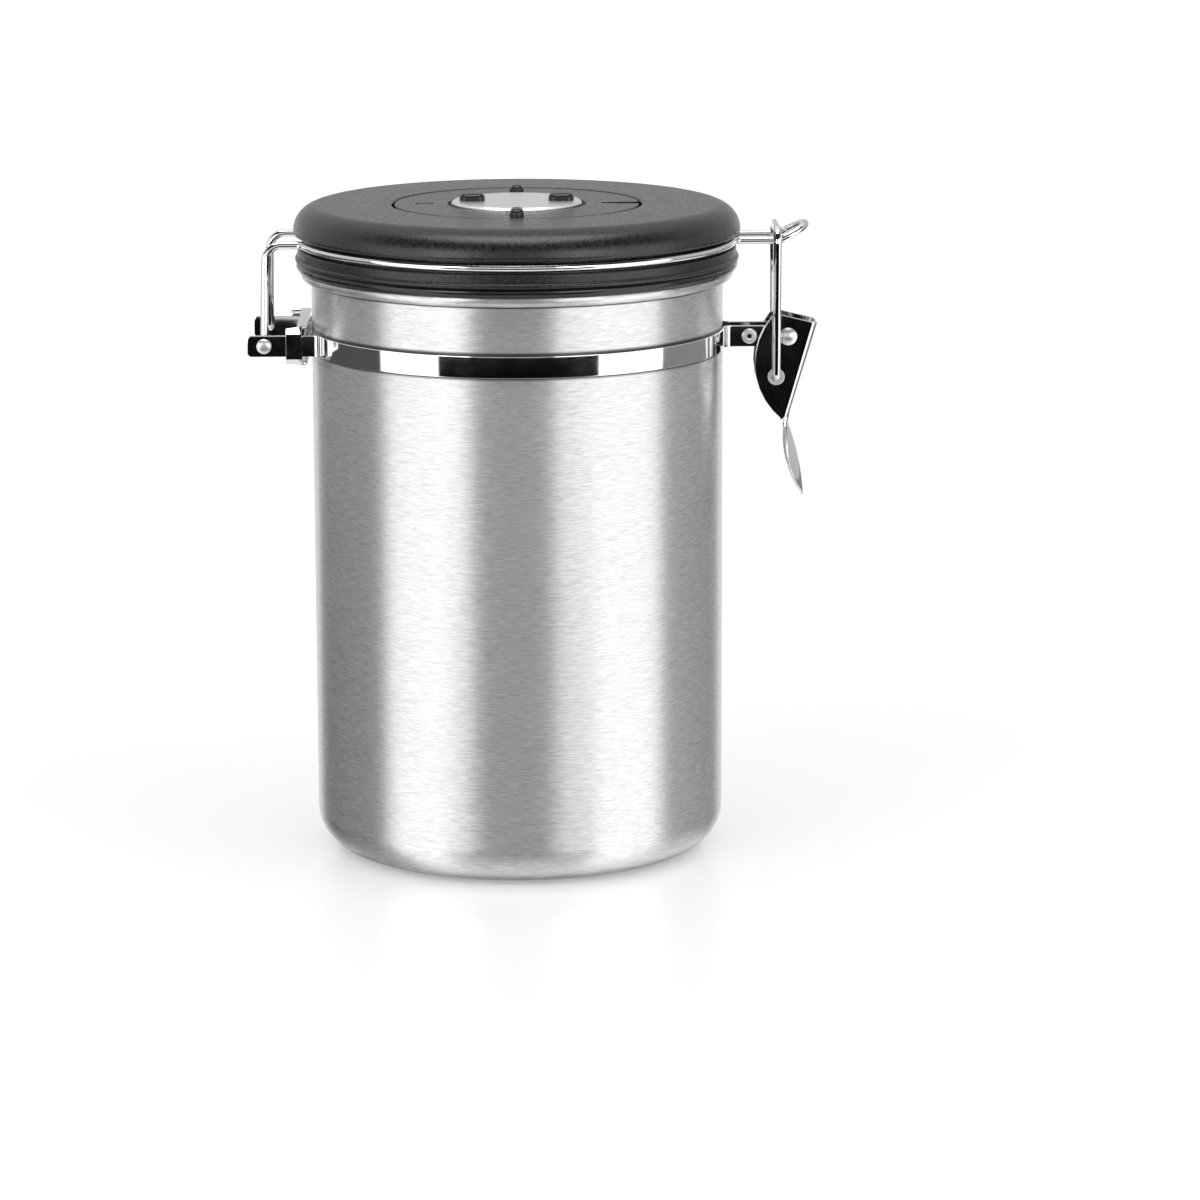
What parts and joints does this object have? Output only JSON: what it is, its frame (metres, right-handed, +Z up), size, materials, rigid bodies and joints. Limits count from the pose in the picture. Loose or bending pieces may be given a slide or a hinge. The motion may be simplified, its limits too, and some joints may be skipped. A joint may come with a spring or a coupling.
{
  "type": "coffee canister with valve",
  "caption": "Cylindrical brushed steel coffee canister with a dark plastic lid on a wire hinge, an over-centre wire clasp, turning dials on the lid and a non-return valve under it.",
  "frame": {"origin": "centre of the flat base, on the surface that the canister stands on", "axes": "+Z up along the canister's axis, the lid hinge on -X, the clasp on +X, the front on -Y"},
  "size_m": [0.1614, 0.127, 0.1884],
  "materials": {
    "brushed_steel": "fine horizontal brushing",
    "chrome": "polished",
    "lid_plastic": "fine grained, dark grey",
    "gasket_rubber": "smooth, black",
    "grip_plastic": "satin, black",
    "dial_steel": "turned",
    "inner_plastic": "plain, hidden",
    "spring_steel": "plain, hidden",
    "valve_plastic": "plain, off-white",
    "valve_silicone": "translucent white, shown opaque",
    "valve_felt": "felt"
  },
  "bodies": {
    "canister": {"canister_shell": "brushed_steel", "neck_band_front": "chrome", "neck_band_rear": "chrome", "hinge_clip": "chrome", "ear_rivet": "chrome", "lever_rivet": "chrome"},
    "lid": {"lid_wire": "chrome", "lid_cover": "lid_plastic", "lid_base": "lid_plastic", "lid_gasket": "gasket_rubber", "valve_seat": "valve_plastic", "valve_cap": "valve_plastic", "valve_filter": "valve_felt"},
    "outer_dial": {"dial_ring": "lid_plastic", "ring_grips": "grip_plastic"},
    "inner_dial": {"dial_disc": "dial_steel", "disc_grips": "grip_plastic", "dial_spindle": "inner_plastic", "spindle_clip": "spring_steel"},
    "flap": {"valve_flap": "valve_silicone"},
    "clasp_lever": {"lever": "chrome", "bail_eyelets": "chrome"},
    "bail": {"draw_bail": "chrome"}
  },
  "joints": [
    {"name": "lid_hinge", "type": "hinge", "parent": "canister", "child": "lid", "pos_m": [-0.0713, 0, 0.1477], "axis": [0, -1, 0], "range_deg": [0, 105]},
    {"name": "lever_pivot", "type": "hinge", "parent": "canister", "child": "clasp_lever", "pos_m": [0.077, 0, 0.1477], "axis": [0, -1, 0], "range_deg": [0, 120]},
    {"name": "bail_pivot", "type": "hinge", "parent": "clasp_lever", "child": "bail", "pos_m": [0.0736, 0, 0.1362], "axis": [0, -1, 0], "range_deg": [-86.4, 0]},
    {"name": "outer_dial_turn", "type": "hinge", "parent": "lid", "child": "outer_dial", "pos_m": [0, 0, 0.184], "axis": [0, 0, 1], "continuous": true},
    {"name": "inner_dial_turn", "type": "hinge", "parent": "lid", "child": "inner_dial", "pos_m": [0, 0, 0.185], "axis": [0, 0, 1], "continuous": true},
    {"name": "valve_lift", "type": "slide", "parent": "lid", "child": "flap", "axis": [0, 0, 1], "range_m": [0, 0.0008]}
  ],
  "couplings": [
    {"joint": "bail_pivot", "follows": "lever_pivot", "ratio": -0.72}
  ]
}
